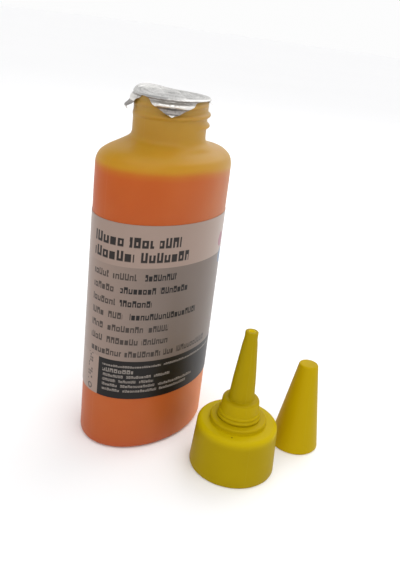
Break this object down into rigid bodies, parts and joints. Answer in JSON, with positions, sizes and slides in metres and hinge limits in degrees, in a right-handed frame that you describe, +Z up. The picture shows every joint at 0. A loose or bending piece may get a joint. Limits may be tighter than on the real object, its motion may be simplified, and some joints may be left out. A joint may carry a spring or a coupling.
{
  "type": "ink bottle",
  "caption": "Oval squeeze bottle of ink with a foil-sealed screw neck, wrap label, long nozzle cap and loose tip cover.",
  "frame": {"origin": "centre of the bottle's flat base, on the bottle's axis", "axes": "+Z up along the bottle's axis, X along the long axis of its oval section, the cap and the cover stand on the -Y side"},
  "size_m": [0.0582, 0.0702, 0.1074],
  "materials": {
    "bottle_shell": "translucent milky blown plastic",
    "ink_fill": "liquid ink, orange",
    "wrap_label": "satin printed paper, greige and charcoal",
    "foil_seal": "soft crinkled foil",
    "cap_liner": "closed-cell foam",
    "nozzle_cap": "satin moulded yellow",
    "tip_cover": "satin moulded yellow"
  },
  "bodies": {
    "bottle": {"bottle_shell": "bottle_shell", "ink_fill": "ink_fill", "wrap_label": "wrap_label"},
    "foil": {"foil_seal": "foil_seal"},
    "liner": {"cap_liner": "cap_liner"},
    "cap": {"nozzle_cap": "nozzle_cap"},
    "cover": {"tip_cover": "tip_cover"}
  },
  "joints": [
    {"name": "foil_peel", "type": "slide", "parent": "bottle", "child": "foil", "axis": [0, 0, 1], "range_m": [0, 0.04]},
    {"name": "cap_lift", "type": "slide", "parent": "bottle", "child": "liner", "axis": [0, 0, 1], "range_m": [0, 0.12]},
    {"name": "cap_turn", "type": "hinge", "parent": "liner", "child": "cap", "pos_m": [0.0016, -0.0373, 0], "axis": [0, 0, 1], "continuous": true},
    {"name": "cover_lift", "type": "slide", "parent": "bottle", "child": "cover", "axis": [0, 0, 1], "range_m": [0, 0.12]}
  ]
}
